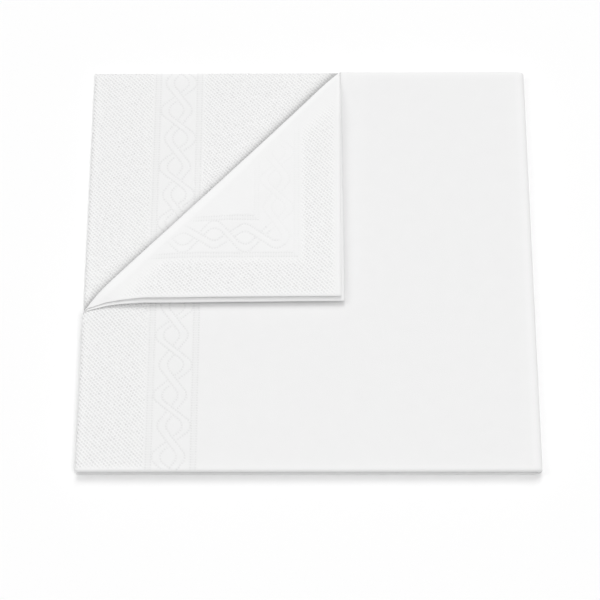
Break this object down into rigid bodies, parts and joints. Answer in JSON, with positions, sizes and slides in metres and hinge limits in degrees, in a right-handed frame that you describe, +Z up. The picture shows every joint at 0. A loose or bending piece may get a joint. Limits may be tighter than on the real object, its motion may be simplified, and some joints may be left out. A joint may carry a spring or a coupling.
{
  "type": "paper napkin",
  "caption": "Quarter-folded white paper napkin with one free corner turned over on a diagonal crease and an embossed rope border.",
  "frame": {"origin": "on the surface that the napkin lies on, under the middle of the folded napkin", "axes": "+Z up, +X to the right towards the second fold, +Y to the back, away from the first fold"},
  "size_m": [0.165, 0.159, 0.0096],
  "materials": {
    "tissue": "matt white embossed tissue"
  },
  "bodies": {
    "root": {"napkin": "tissue"}
  },
  "joints": []
}
